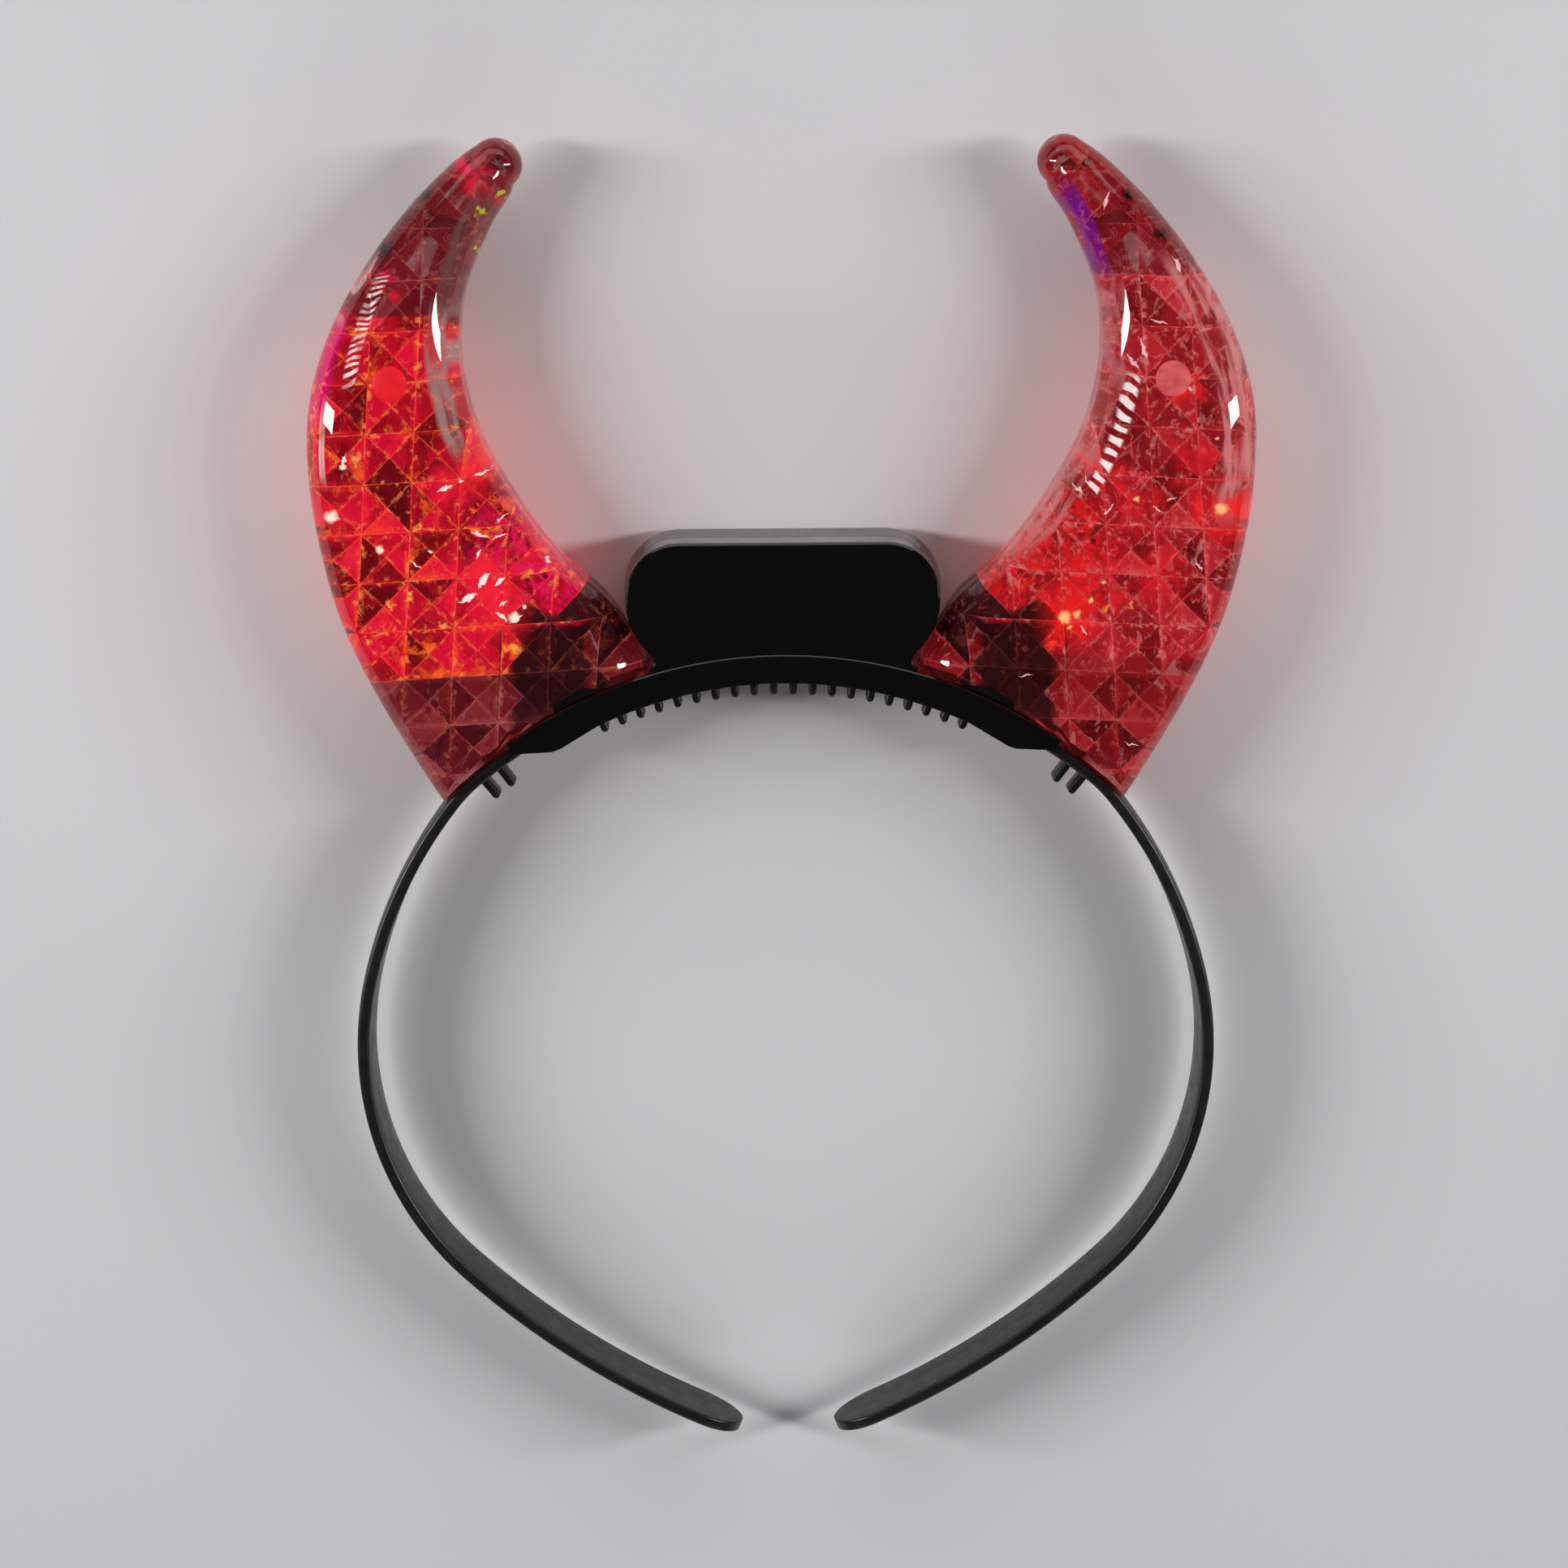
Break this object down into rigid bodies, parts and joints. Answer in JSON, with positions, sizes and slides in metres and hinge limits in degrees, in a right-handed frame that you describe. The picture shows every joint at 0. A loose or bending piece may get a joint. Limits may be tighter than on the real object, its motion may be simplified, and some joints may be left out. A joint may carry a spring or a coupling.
{
  "type": "light-up devil horns headband",
  "caption": "Plastic comb headband with a flat battery housing on top and a pair of hollow, clear red, faceted horns lit from inside.",
  "frame": {"origin": "middle of the bounding box on the plane that the horns' backs rest on", "axes": "+X to the right as seen from the front, +Y from the arm tips to the horn tips, +Z out of the front face and up as it lies"},
  "size_m": [0.1516, 0.2146, 0.021],
  "materials": {
    "band": "black, satin gloss",
    "housing": "black, gloss",
    "horn": "clear red, gloss, faceted on the inside",
    "holder": "black, matte",
    "lamp": "clear red lens, lit"
  },
  "bodies": {
    "root": {"headband": "band", "housing_front": "housing", "housing_back": "housing", "horn_left_front": "horn", "horn_left_back": "horn", "horn_right_front": "horn", "horn_right_back": "horn", "led_holder_left": "holder", "led_holder_right": "holder", "led_left": "lamp", "led_right": "lamp"}
  },
  "joints": []
}
